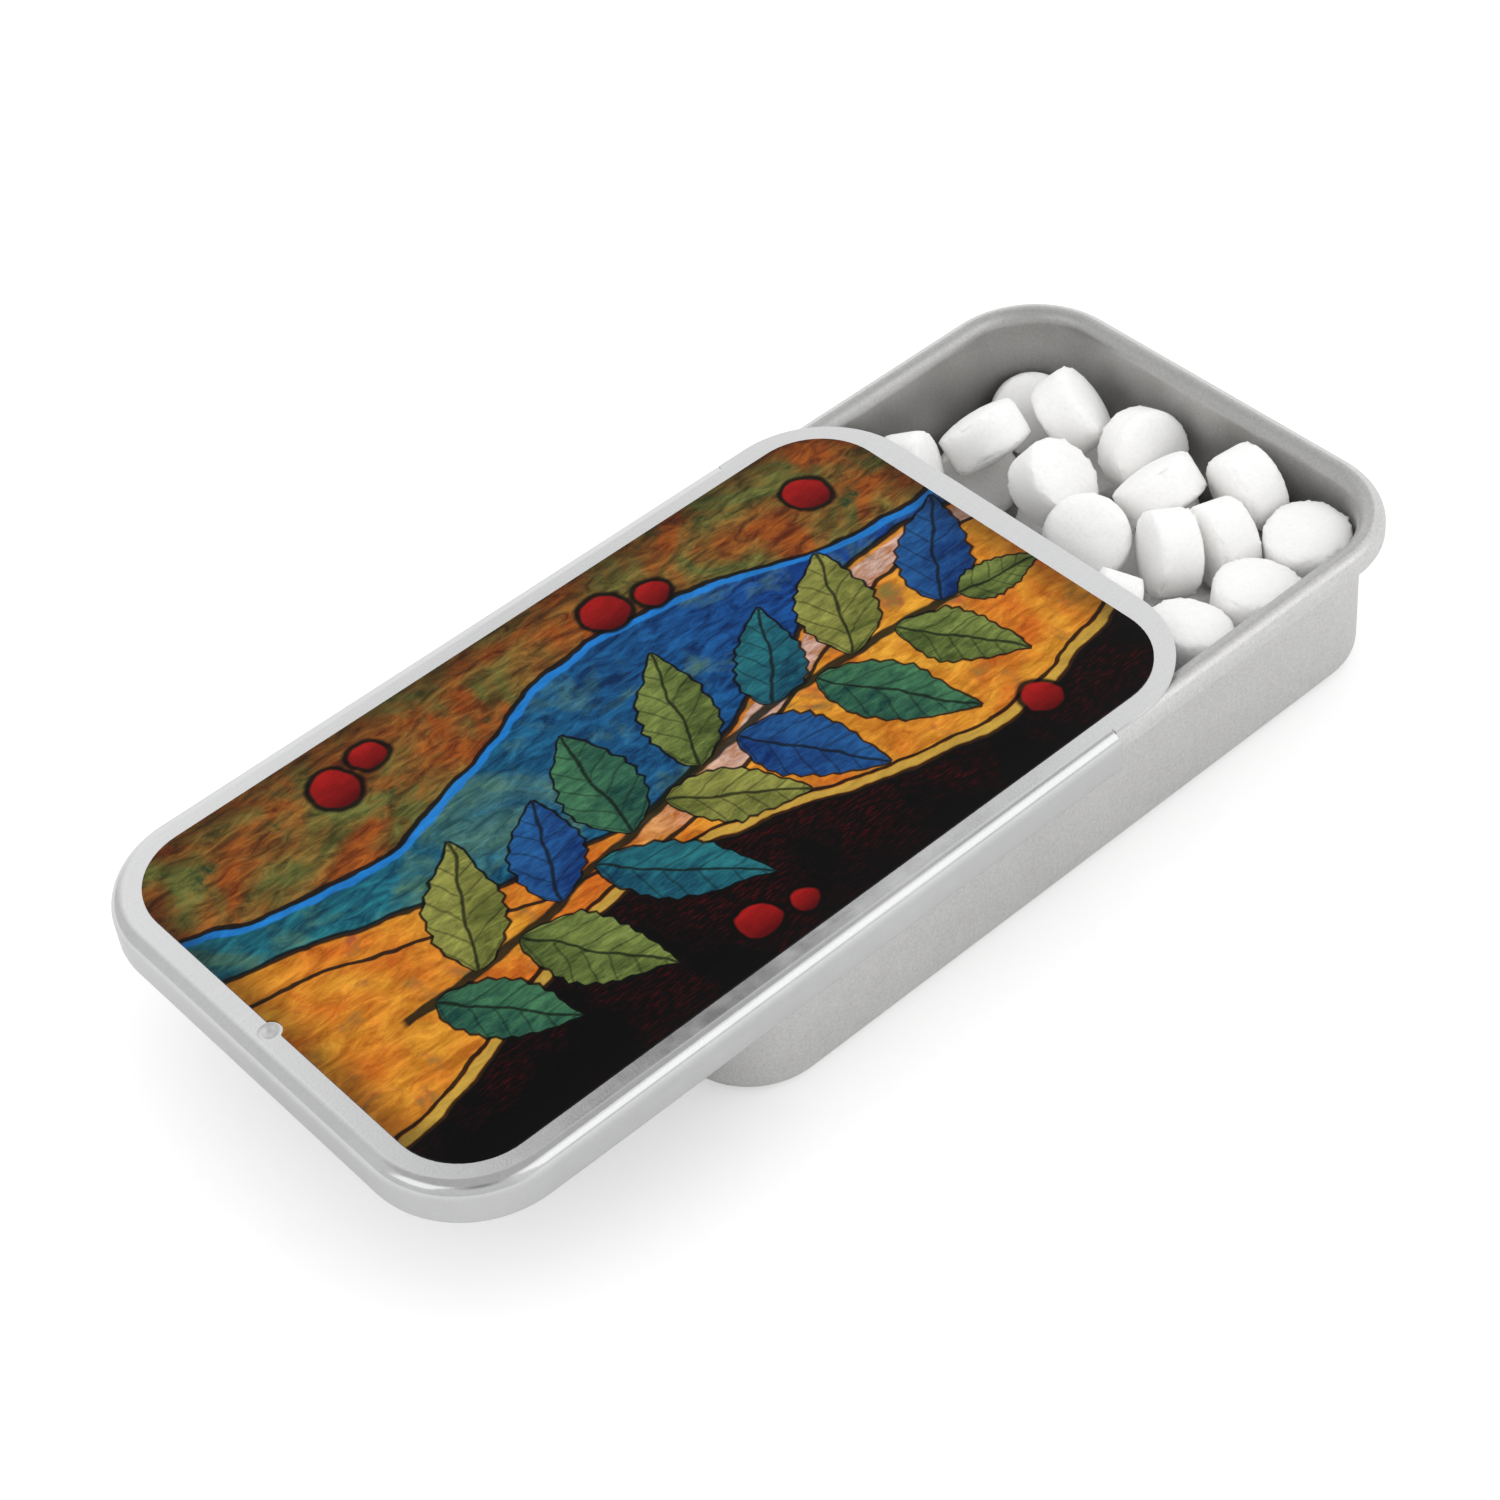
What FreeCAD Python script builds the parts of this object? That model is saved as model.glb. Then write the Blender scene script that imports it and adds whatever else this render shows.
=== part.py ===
import FreeCAD, Part
import math
import os
import Sketcher

# A pocket tin with a sliding lid, filled with small pressed mints.
# The tray is drawn from thin tinplate and its rim is curled outwards.
# The lid wraps that curl on three sides and slides off along its length.
# Origin: middle of the tray's underside. X runs along the tin, towards the
# end that is uncovered first, Y across it and Z up.

doc = FreeCAD.newDocument("mint_tin")
sheet = doc.addObject("Spreadsheet::Sheet", "tin")

# Driving sizes in millimetres.
SIZES = {
    "sheet_gauge": 0.25,
    "tray_length": 58.75,
    "tray_width": 35.2,
    "tray_height": 11.45,
    "corner_radius": 6.8,
    "curl_radius": 0.87,
    "curl_drop": 0.6,
    "foot_radius": 1.2,
    "side_gap": 0.33,
    "lid_gap": 0.3,
    "rail_gap": 0.34,
    "rail_radius": 0.5,
    "rail_lip": 0.45,
    "rail_stop": 9.35,
    "shoulder_radius": 0.9,
    "far_overhang": 0.67,
    "tongue_inset": 0.46,
    "tongue_radius": 7.1,
    "lid_opening": 19.55,
    "dimple_radius": 0.65,
    "dimple_depth": 0.22,
    "dimple_inset": 1.73,
    "print_gauge": 0.08,
    "print_side": 1.94,
    "print_near": 2.05,
    "print_far": 1.79,
    "print_radius": 4.7,
    "print_clear": 0.12,
    "mint_diameter": 5.65,
    "mint_thickness": 3.65,
    "mint_band": 2.65,
    "mint_gap": 0.08,
    "mint_headroom": 0.15,
}
for row, (alias, length) in enumerate(SIZES.items(), start=1):
    sheet.set("A%d" % row, alias)
    sheet.set("B%d" % row, str(length))
    sheet.setAlias("B%d" % row, alias)
doc.recompute()

# Sizes that follow from the driving ones, as expressions on the sheet.
GAUGE = "tin.sheet_gauge"
RIM_X = "(tin.tray_length / 2)"
RIM_Y = "(tin.tray_width / 2)"
CURL_REACH = "(2 * tin.curl_radius - tin.sheet_gauge)"
WALL_X = "(%s - %s)" % (RIM_X, CURL_REACH)
WALL_Y = "(%s - %s)" % (RIM_Y, CURL_REACH)
WALL_CORNER = "(tin.corner_radius - %s)" % CURL_REACH
CURL_Z = "(tin.tray_height - tin.curl_radius)"
CURL_FOOT = "(%s - tin.curl_drop)" % CURL_Z
PLATE_Z = "(tin.tray_height + tin.lid_gap)"
LID_TOP = "(%s + tin.sheet_gauge)" % PLATE_Z
LID_NEAR = "(-%s - tin.side_gap - tin.sheet_gauge)" % RIM_X
LID_FAR = "(%s + tin.far_overhang)" % RIM_X
LID_Y = "(%s + tin.side_gap + tin.sheet_gauge)" % RIM_Y
RAIL_END = "(%s - tin.rail_stop)" % LID_FAR
DIMPLE_X = "(%s + tin.dimple_inset)" % LID_NEAR
LID_SHIFT = "-tin.lid_opening"


def measure(expression):
    return float(sheet.evalExpression(expression))


def origin_plane(body, role):
    return [item for item in body.Origin.OriginFeatures if item.Role == role][0]


def pin(sketch, geometry, point, axis, expression):
    """Tie one coordinate of a sketch point to an expression on the sheet."""
    length = measure(expression)
    kind = "DistanceX" if axis == 0 else "DistanceY"
    if expression == "0":
        line = -2 if axis == 0 else -1
        sketch.addConstraint(Sketcher.Constraint("PointOnObject", geometry, point, line))
    elif length < 0:
        index = sketch.addConstraint(Sketcher.Constraint(kind, geometry, point, -1, 1, -length))
        sketch.setExpression("Constraints[%d]" % index, "-1 * (%s)" % expression)
    else:
        index = sketch.addConstraint(Sketcher.Constraint(kind, -1, 1, geometry, point, length))
        sketch.setExpression("Constraints[%d]" % index, expression)


def draw(sketch, start, steps, closed=True):
    """Draw a chain of lines and arcs whose points are pinned to expressions.

    A step is (x, y) for a line to that point, or (x, y, centre x, centre y, turn)
    for an arc to it, where turn is 1 anticlockwise and -1 clockwise.
    """
    here = (measure(start[0]), measure(start[1]))
    ends = []
    for step in steps:
        there = (measure(step[0]), measure(step[1]))
        if len(step) == 2:
            line = Part.LineSegment(FreeCAD.Vector(*here, 0), FreeCAD.Vector(*there, 0))
            ends.append((sketch.addGeometry(line, False), 1, 2))
        else:
            middle = (measure(step[2]), measure(step[3]))
            radius = math.dist(here, middle)
            first, last = (here, there) if step[4] > 0 else (there, here)
            angles = [math.atan2(spot[1] - middle[1], spot[0] - middle[0]) for spot in (first, last)]
            if angles[1] <= angles[0]:
                angles[1] += 2 * math.pi
            circle = Part.Circle(FreeCAD.Vector(*middle, 0), FreeCAD.Vector(0, 0, 1), radius)
            index = sketch.addGeometry(Part.ArcOfCircle(circle, angles[0], angles[1]), False)
            ends.append((index, 1, 2) if step[4] > 0 else (index, 2, 1))
        here = there
    for order, (step, (index, head, tail)) in enumerate(zip(steps, ends)):
        if order > 0 or closed:
            before, _, before_tail = ends[order - 1]
            sketch.addConstraint(Sketcher.Constraint("Coincident", before, before_tail, index, head))
        else:
            pin(sketch, index, head, 0, start[0])
            pin(sketch, index, head, 1, start[1])
        if len(step) == 2:
            pin(sketch, index, tail, 0, step[0])
            pin(sketch, index, tail, 1, step[1])
        else:
            pin(sketch, index, 3, 0, step[2])
            pin(sketch, index, 3, 1, step[3])
            across = abs(measure(step[0]) - measure(step[2]))
            along = abs(measure(step[1]) - measure(step[3]))
            axis = 1 if across > along else 0
            pin(sketch, index, tail, axis, step[axis])
    doc.recompute()
    return ["Edge%d" % (index + 1) for index in range(len(ends))]


def new_sketch(body, name, role):
    sketch = body.newObject("Sketcher::SketchObject", name)
    sketch.AttachmentSupport = (origin_plane(body, role), [""])
    sketch.MapMode = "FlatFace"
    return sketch


def rounded_outline(half_x, half_y, radius):
    """Start point and steps of a rounded rectangle, anticlockwise from the +X end."""
    in_x = "(%s - %s)" % (half_x, radius)
    in_y = "(%s - %s)" % (half_y, radius)
    steps = [
        (half_x, in_y),
        (in_x, half_y, in_x, in_y, 1),
        ("-" + in_x, half_y),
        ("-" + half_x, in_y, "-" + in_x, in_y, 1),
        ("-" + half_x, "-" + in_y),
        ("-" + in_x, "-" + half_y, "-" + in_x, "-" + in_y, 1),
        (in_x, "-" + half_y),
        (half_x, "-" + in_y, in_x, "-" + in_y, 1),
        (half_x, "0"),
    ]
    return (half_x, "0"), steps


def pad(body, sketch, name, length):
    feature = body.newObject("PartDesign::Pad", name)
    feature.Profile = sketch
    feature.setExpression("Length", length)
    doc.recompute()
    return feature


def pipe(body, section, path, edges, name):
    feature = body.newObject("PartDesign::AdditivePipe", name)
    feature.Profile = section
    feature.Spine = (path, edges)
    doc.recompute()
    return feature


# The tray: one section of foot, wall and outward curl, swept round the tin.
tray = doc.addObject("PartDesign::Body", "tray")
tray_path = new_sketch(tray, "tray_path", "XY_Plane")
path_edges = draw(tray_path, *rounded_outline(WALL_X, WALL_Y, WALL_CORNER))
tray_section = new_sketch(tray, "tray_section", "XZ_Plane")
FOOT_X = "(%s - tin.foot_radius)" % WALL_X
WALL_IN = "(%s - tin.sheet_gauge)" % WALL_X
CURL_X = "(%s + tin.curl_radius)" % WALL_IN
CURL_UNDER = "(%s - tin.sheet_gauge)" % RIM_X
draw(tray_section, (FOOT_X, "0"), [
    (WALL_X, "tin.foot_radius", FOOT_X, "tin.foot_radius", 1),
    (WALL_X, CURL_Z),
    (CURL_UNDER, CURL_Z, CURL_X, CURL_Z, -1),
    (CURL_UNDER, CURL_FOOT),
    (RIM_X, CURL_FOOT),
    (RIM_X, CURL_Z),
    (WALL_IN, CURL_Z, CURL_X, CURL_Z, 1),
    (WALL_IN, "tin.foot_radius"),
    (FOOT_X, GAUGE, FOOT_X, "tin.foot_radius", -1),
    (FOOT_X, "0"),
])
pipe(tray, tray_section, tray_path, path_edges, "tray_wall")
FOOT_Y = "(%s - tin.foot_radius)" % WALL_Y
FOOT_CORNER = "(%s - tin.foot_radius)" % WALL_CORNER
tray_floor = new_sketch(tray, "tray_floor_outline", "XY_Plane")
draw(tray_floor, *rounded_outline(FOOT_X, FOOT_Y, FOOT_CORNER))
pad(tray, tray_floor, "tray_floor", GAUGE)

# The lid, drawn shut and then slid open: a rail of shoulder, skirt and turned-in
# foot swept round three sides, and a flat plate that runs on as a round-cornered
# tongue at the open end.
lid = doc.addObject("PartDesign::Body", "sliding_lid")
rail_path = new_sketch(lid, "rail_path", "XY_Plane")
TURN_X = "(%s + tin.corner_radius)" % LID_NEAR
TURN_Y = "(%s - tin.corner_radius)" % LID_Y
rail_edges = draw(rail_path, (RAIL_END, LID_Y), [
    (TURN_X, LID_Y),
    (LID_NEAR, TURN_Y, TURN_X, TURN_Y, 1),
    (LID_NEAR, "-" + TURN_Y),
    (TURN_X, "-" + LID_Y, TURN_X, "-" + TURN_Y, 1),
    (RAIL_END, "-" + LID_Y),
], closed=False)
# The foot is bent in and up, halfway between level and upright.
SLANT = "cos(45 deg)"
BEND_DROP = "(tin.rail_radius * %s)" % SLANT
BEND_IN_DROP = "((tin.rail_radius - tin.sheet_gauge) * %s)" % SLANT
LIP_RISE = "(tin.rail_lip * %s)" % SLANT
EDGE_RISE = "(tin.sheet_gauge * %s)" % SLANT
BEND_Z = "(%s - tin.rail_gap - %s - %s + %s)" % (CURL_FOOT, LIP_RISE, EDGE_RISE, BEND_DROP)
BEND_Y = "(%s - tin.rail_radius)" % LID_Y
LIP_OUT_Y = "(%s - %s)" % (BEND_Y, BEND_DROP)
LIP_OUT_Z = "(%s - %s)" % (BEND_Z, BEND_DROP)
LIP_IN_Y = "(%s - %s)" % (BEND_Y, BEND_IN_DROP)
LIP_IN_Z = "(%s - %s)" % (BEND_Z, BEND_IN_DROP)
SHOULDER_Y = "(%s - tin.shoulder_radius)" % LID_Y
SHOULDER_Z = "(%s - tin.shoulder_radius)" % LID_TOP
SKIRT_IN = "(%s - tin.sheet_gauge)" % LID_Y
rail_section = new_sketch(lid, "rail_section", "YZ_Plane")
rail_section.setExpression("AttachmentOffset.Base.z", RAIL_END)
doc.recompute()
draw(rail_section, (SHOULDER_Y, LID_TOP), [
    (LID_Y, SHOULDER_Z, SHOULDER_Y, SHOULDER_Z, -1),
    (LID_Y, BEND_Z),
    (LIP_OUT_Y, LIP_OUT_Z, BEND_Y, BEND_Z, -1),
    ("(%s - %s)" % (LIP_OUT_Y, LIP_RISE), "(%s + %s)" % (LIP_OUT_Z, LIP_RISE)),
    ("(%s - %s)" % (LIP_IN_Y, LIP_RISE), "(%s + %s)" % (LIP_IN_Z, LIP_RISE)),
    (LIP_IN_Y, LIP_IN_Z),
    (SKIRT_IN, BEND_Z, BEND_Y, BEND_Z, 1),
    (SKIRT_IN, SHOULDER_Z),
    (SHOULDER_Y, PLATE_Z, SHOULDER_Y, SHOULDER_Z, 1),
    (SHOULDER_Y, LID_TOP),
])
pipe(lid, rail_section, rail_path, rail_edges, "lid_rail")

PLATE_NEAR = "(%s + tin.shoulder_radius)" % LID_NEAR
TONGUE_Y = "(%s - tin.tongue_inset)" % LID_Y
TONGUE_IN_Y = "(%s - tin.tongue_radius)" % TONGUE_Y
TONGUE_IN_X = "(%s - tin.tongue_radius)" % LID_FAR
lid_outline = new_sketch(lid, "lid_plate_outline", "XY_Plane")
lid_outline.setExpression("AttachmentOffset.Base.z", PLATE_Z)
doc.recompute()
draw(lid_outline, (LID_FAR, "-" + TONGUE_IN_Y), [
    (LID_FAR, TONGUE_IN_Y),
    (TONGUE_IN_X, TONGUE_Y, TONGUE_IN_X, TONGUE_IN_Y, 1),
    (RAIL_END, TONGUE_Y),
    (RAIL_END, SHOULDER_Y),
    (TURN_X, SHOULDER_Y),
    (PLATE_NEAR, TURN_Y, TURN_X, TURN_Y, 1),
    (PLATE_NEAR, "-" + TURN_Y),
    (TURN_X, "-" + SHOULDER_Y, TURN_X, "-" + TURN_Y, 1),
    (RAIL_END, "-" + SHOULDER_Y),
    (RAIL_END, "-" + TONGUE_Y),
    (TONGUE_IN_X, "-" + TONGUE_Y),
    (LID_FAR, "-" + TONGUE_IN_Y, TONGUE_IN_X, "-" + TONGUE_IN_Y, 1),
])
pad(lid, lid_outline, "lid_plate", GAUGE)

# A small dimple pressed down through the plate rides on the tray's curl.
DISH = "((pow(tin.dimple_radius; 2) + pow(tin.dimple_depth; 2)) / (2 * tin.dimple_depth))"


def dish_section(name, level):
    sketch = new_sketch(lid, name, "XZ_Plane")
    sketch.setExpression("AttachmentOffset.Base.x", DIMPLE_X)
    doc.recompute()
    bottom = "(%s - tin.dimple_depth)" % level
    draw(sketch, ("0", bottom), [
        ("tin.dimple_radius", level, "0", "(%s + %s)" % (bottom, DISH), 1),
        ("0", level),
        ("0", bottom),
    ])
    return sketch


bump = lid.newObject("PartDesign::Revolution", "dimple_bump")
bump.Profile = dish_section("dimple_bump_section", PLATE_Z)
bump.ReferenceAxis = (bump.Profile[0], ["V_Axis"])
doc.recompute()
before_pit = bump.Shape.Volume
pit = lid.newObject("PartDesign::Groove", "dimple_pit")
pit.Profile = dish_section("dimple_pit_section", LID_TOP)
pit.ReferenceAxis = (pit.Profile[0], ["V_Axis"])
doc.recompute()
if not pit.Shape.Volume < before_pit:
    raise RuntimeError("the dimple's pit cuts nothing")
lid.setExpression("Placement.Base.x", LID_SHIFT)

# The printed film on the lid's top, cut away round the dimple.
label = doc.addObject("PartDesign::Body", "lid_label")
PRINT_NEAR = "(%s + tin.print_near)" % LID_NEAR
PRINT_FAR = "(%s - tin.print_far)" % LID_FAR
PRINT_Y = "(%s - tin.print_side)" % LID_Y
PRINT_IN_Y = "(%s - tin.print_radius)" % PRINT_Y
PRINT_IN_FAR = "(%s - tin.print_radius)" % PRINT_FAR
PRINT_IN_NEAR = "(%s + tin.print_radius)" % PRINT_NEAR
label_outline = new_sketch(label, "label_outline", "XY_Plane")
label_outline.setExpression("AttachmentOffset.Base.z", LID_TOP)
doc.recompute()
draw(label_outline, (PRINT_FAR, "-" + PRINT_IN_Y), [
    (PRINT_FAR, PRINT_IN_Y),
    (PRINT_IN_FAR, PRINT_Y, PRINT_IN_FAR, PRINT_IN_Y, 1),
    (PRINT_IN_NEAR, PRINT_Y),
    (PRINT_NEAR, PRINT_IN_Y, PRINT_IN_NEAR, PRINT_IN_Y, 1),
    (PRINT_NEAR, "-" + PRINT_IN_Y),
    (PRINT_IN_NEAR, "-" + PRINT_Y, PRINT_IN_NEAR, "-" + PRINT_IN_Y, 1),
    (PRINT_IN_FAR, "-" + PRINT_Y),
    (PRINT_FAR, "-" + PRINT_IN_Y, PRINT_IN_FAR, "-" + PRINT_IN_Y, 1),
])
film = pad(label, label_outline, "label_film", "tin.print_gauge")
whole_film = film.Shape.Volume
NOTCH_RADIUS = "(tin.dimple_radius + tin.print_clear)"
notch_outline = new_sketch(label, "label_notch_outline", "XY_Plane")
notch_outline.setExpression("AttachmentOffset.Base.z", LID_TOP)
doc.recompute()
notch_middle = FreeCAD.Vector(measure(DIMPLE_X), 0, 0)
ring = Part.Circle(notch_middle, FreeCAD.Vector(0, 0, 1), measure(NOTCH_RADIUS))
bite = notch_outline.addGeometry(ring, False)
pin(notch_outline, bite, 3, 0, DIMPLE_X)
pin(notch_outline, bite, 3, 1, "0")
radius = notch_outline.addConstraint(Sketcher.Constraint("Radius", bite, measure(NOTCH_RADIUS)))
notch_outline.setExpression("Constraints[%d]" % radius, NOTCH_RADIUS)
doc.recompute()
notch = label.newObject("PartDesign::Pocket", "label_notch")
notch.Profile = notch_outline
notch.setExpression("Length", "tin.print_gauge")
notch.Reversed = True
doc.recompute()
if not notch.Shape.Volume < whole_film:
    raise RuntimeError("the label's notch cuts nothing")
label.setExpression("Placement.Base.x", LID_SHIFT)

# One mint's half section: a straight band between two domed faces.
mint_section = doc.addObject("Sketcher::SketchObject", "mint_section")
MINT_R = "(tin.mint_diameter / 2)"
MINT_TOP = "(tin.mint_thickness / 2)"
MINT_BAND = "(tin.mint_band / 2)"
MINT_RISE = "(%s - %s)" % (MINT_TOP, MINT_BAND)
MINT_BALL = "((pow(%s; 2) + pow(%s; 2)) / (2 * %s))" % (MINT_R, MINT_RISE, MINT_RISE)
draw(mint_section, ("0", "-" + MINT_TOP), [
    (MINT_R, "-" + MINT_BAND, "0", "(%s - %s)" % (MINT_BALL, MINT_TOP), 1),
    (MINT_R, MINT_BAND),
    ("0", MINT_TOP, "0", "(%s - %s)" % (MINT_TOP, MINT_BALL), 1),
    ("0", "-" + MINT_TOP),
])

# Where the mints start before they settle. Places are shares of half the tray's
# inner length, half its inner width and its depth under the lid; then the lean of
# the mint's axis from upright and the heading of that lean, in degrees.
# The hidden bottom layer lies in rows, from the open end towards the shut end:
# where the row lies along the tray, then a place across it and a lean for each mint.
FLOOR_SHARES = (
    (0.89, ((-0.70, 36), (-0.29, 32), (0.11, 6), (0.49, 0))),
    (0.70, ((-0.78, 38), (-0.44, 30), (-0.06, 46), (0.32, 40), (0.74, 46))),
    (0.49, ((-0.58, 50), (-0.18, 40), (0.18, 62), (0.56, 50))),
    (0.27, ((-0.80, 50), (-0.40, 50), (0, 50), (0.40, 44), (0.80, 50))),
    (0.05, ((-0.66, 10), (-0.22, 10), (0.22, 10), (0.66, 10))),
)
FLOOR_HEIGHT_SHARE = 0.25
LEAN_STEP_DEGREES = 5
LEAN_SPREAD_DEGREES = 9
HEADING_STEP_DEGREES = 67
# The mints in sight, each with how firmly it keeps its place when others press on it.
# A mint of the bottom layer counts as 1, and two in sight are tucked in behind others.
HEAP_SHARES = (
    (0.44, 0.72, 0.72, 74, -54, 12),
    (0.64, 0.66, 0.73, 45, 90, 12),
    (0.88, 0.71, 0.475, 52, -128, 4),
    (0.855, 0.44, 0.74, 54, -38, 12),
    (0.915, 0.14, 0.63, 66, -100, 4),
    (0.795, -0.115, 0.745, 45, 90, 12),
    (0.635, 0.24, 0.72, 40, -62, 12),
    (0.545, -0.105, 0.74, 40, -140, 12),
    (0.645, -0.405, 0.74, 82, 152, 12),
    (0.78, -0.455, 0.745, 88, 162, 12),
    (0.92, -0.39, 0.745, 84, -12, 12),
    (0.885, -0.77, 0.685, 4, 200, 12),
    (0.675, -0.82, 0.685, 8, 0, 12),
    (0.455, -0.80, 0.73, 14, 0, 12),
    (0.40, -0.485, 0.73, 72, 125, 12),
)
SETTLE_ROUNDS = 200
SINK_STEPS = 40
DIRECTION_COUNT = 140
LEVEL_COUNT = 16
PUSH_COUNT = 16

floor_z = measure(GAUGE)
foot_round = measure("tin.foot_radius - tin.sheet_gauge")
inner_x = measure(WALL_IN)
inner_y = measure("%s - tin.sheet_gauge" % WALL_Y)
inner_corner = measure("%s - tin.sheet_gauge" % WALL_CORNER)
ceiling = measure("%s - tin.dimple_depth - tin.mint_headroom" % PLATE_Z)
mint_radius = measure(MINT_R)
mint_half = measure(MINT_TOP)
band_half = measure(MINT_BAND)
ball = measure(MINT_BALL)
gap = measure("tin.mint_gap")


def spread_directions():
    """Unit directions over the upper half, plus level ones and straight up."""
    golden = math.pi * (3 - math.sqrt(5))
    found = [(0.0, 0.0, 1.0)]
    for index in range(DIRECTION_COUNT):
        rise = (index + 0.5) / DIRECTION_COUNT
        level = math.sqrt(1 - rise * rise)
        found.append((level * math.cos(index * golden), level * math.sin(index * golden), rise))
    for index in range(LEVEL_COUNT):
        angle = math.pi * index / LEVEL_COUNT
        found.append((math.cos(angle), math.sin(angle), 0.0))
    return found


def dot(first, second):
    return first[0] * second[0] + first[1] * second[1] + first[2] * second[2]


def axis_of(lean, heading):
    lean, heading = math.radians(lean), math.radians(heading)
    return (math.sin(lean) * math.cos(heading), math.sin(lean) * math.sin(heading), math.cos(lean))


def reach(direction, axis):
    """How far a mint extends from its middle along a direction."""
    along = abs(dot(direction, axis))
    across = math.sqrt(max(0.0, 1 - along * along))
    if ball * across <= mint_radius:
        return ball - (ball - mint_half) * along
    return mint_radius * across + band_half * along


def room_for(direction):
    """How far the tray's inside extends along a direction that points out and down."""
    level = math.hypot(direction[0], direction[1])
    flat = (inner_x - inner_corner) * abs(direction[0]) + (inner_y - inner_corner) * abs(direction[1])
    return flat + (inner_corner - foot_round) * level + foot_round + (floor_z + foot_round) * direction[2]


upward = spread_directions()
downward = [(x, y, -z) for x, y, z in upward] + [(-x, -y, z) for x, y, z in upward if z == 0]
rooms = [room_for(direction) for direction in downward]


def clear_of(offset, reaches, other_reaches):
    """Widest separation of two mints, with the direction that shows it."""
    best, best_direction = -math.inf, None
    for direction, mine, other in zip(upward, reaches, other_reaches):
        span = dot(direction, offset)
        apart = abs(span) - mine - other
        if apart > best:
            best = apart
            best_direction = direction if span > 0 else tuple(-part for part in direction)
    return best, best_direction


def keep_inside(place, reaches, axis):
    """Move a mint's place off the walls, the floor and the lid's underside."""
    for _ in range(PUSH_COUNT):
        overs = [dot(direction, place) + mine + gap - room
                 for direction, mine, room in zip(downward, reaches, rooms)]
        worst = max(overs)
        if worst <= 0:
            break
        direction = downward[overs.index(worst)]
        for part in range(3):
            place[part] -= worst * direction[part]
    place[2] = min(place[2], ceiling - reach((0, 0, 1), axis))


def settle(starts):
    """Push the mints apart and into the tray, then lower each until it rests."""
    places = [list(place) for place, axis, firmness in starts]
    axes = [axis for place, axis, firmness in starts]
    firm = [firmness for place, axis, firmness in starts]
    reaches = [[reach(direction, axis) for direction in upward] for axis in axes]
    low_reaches = [[reach(direction, axis) for direction in downward] for axis in axes]
    count = len(places)
    near = 2 * math.hypot(mint_radius, band_half) + gap
    for _ in range(SETTLE_ROUNDS):
        for first in range(count):
            for second in range(first + 1, count):
                offset = [places[second][part] - places[first][part] for part in range(3)]
                if dot(offset, offset) > near * near:
                    continue
                apart, direction = clear_of(offset, reaches[first], reaches[second])
                if apart < gap:
                    yielding = firm[second] / (firm[first] + firm[second])
                    for part in range(3):
                        places[first][part] -= (gap - apart) * yielding * direction[part]
                        places[second][part] += (gap - apart) * (1 - yielding) * direction[part]
        for index in range(count):
            keep_inside(places[index], low_reaches[index], axes[index])
    step = mint_half / SINK_STEPS
    for index in sorted(range(count), key=lambda item: places[item][2]):
        for _ in range(2 * SINK_STEPS):
            trial = [places[index][0], places[index][1], places[index][2] - step]
            if any(dot(direction, trial) + mine + gap > room + step
                   for direction, mine, room in zip(downward, low_reaches[index], rooms)):
                break
            offsets = [(other, [places[other][part] - trial[part] for part in range(3)])
                       for other in range(count) if other != index]
            if any(dot(offset, offset) < near * near
                   and clear_of(offset, reaches[index], reaches[other])[0] < gap - step / 2
                   for other, offset in offsets):
                break
            places[index] = trial
    return places


starts = []
for x_share, mints_across in FLOOR_SHARES:
    for y_share, lean in mints_across:
        number = len(starts) + 1
        lean += number * LEAN_STEP_DEGREES % LEAN_SPREAD_DEGREES
        axis = axis_of(lean, number * HEADING_STEP_DEGREES)
        starts.append(((x_share * inner_x, y_share * inner_y, FLOOR_HEIGHT_SHARE * ceiling), axis, 1))
for x_share, y_share, z_share, lean, heading, firmness in HEAP_SHARES:
    place = (x_share * inner_x, y_share * inner_y, z_share * ceiling)
    starts.append((place, axis_of(lean, heading), firmness))

mints = []
for number, (place, (start, axis, firmness)) in enumerate(zip(settle(starts), starts), start=1):
    mint = doc.addObject("Part::Revolution", "mint_%02d" % number)
    mint.Source = mint_section
    mint.Base = FreeCAD.Vector(0, 0, 0)
    mint.Axis = FreeCAD.Vector(0, 1, 0)
    mint.Angle = 360
    mint.Solid = True
    turn = FreeCAD.Rotation(FreeCAD.Vector(0, 1, 0), FreeCAD.Vector(*axis))
    mint.Placement = FreeCAD.Placement(FreeCAD.Vector(*place), turn)
    mints.append(mint)
doc.recompute()

pieces = [tray, lid, label] + mints
for item in doc.Objects:
    if "Invalid" in item.State or "Error" in item.State:
        raise RuntimeError("%s did not build: %s" % (item.Name, item.State))
for piece in pieces:
    piece.Label = piece.Name
    if piece.Shape.isNull() or not piece.Shape.isValid() or len(piece.Shape.Solids) != 1:
        raise RuntimeError("%s is not one sound solid" % piece.Name)

os.makedirs("parts", exist_ok=True)
for piece in pieces:
    piece.Shape.exportStep("parts/%s.step" % piece.Label)
    box = piece.Shape.BoundBox
    spans = (box.XMin, box.XMax, box.YMin, box.YMax, box.ZMin, box.ZMax)
    print("%-12s volume %9.2f  x %7.2f %7.2f  y %7.2f %7.2f  z %6.2f %6.2f" % (
        piece.Label, piece.Shape.Volume, *spans))
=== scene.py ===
import math

import bmesh
import bpy
from mathutils import Euler, Matrix, Vector, noise


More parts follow.
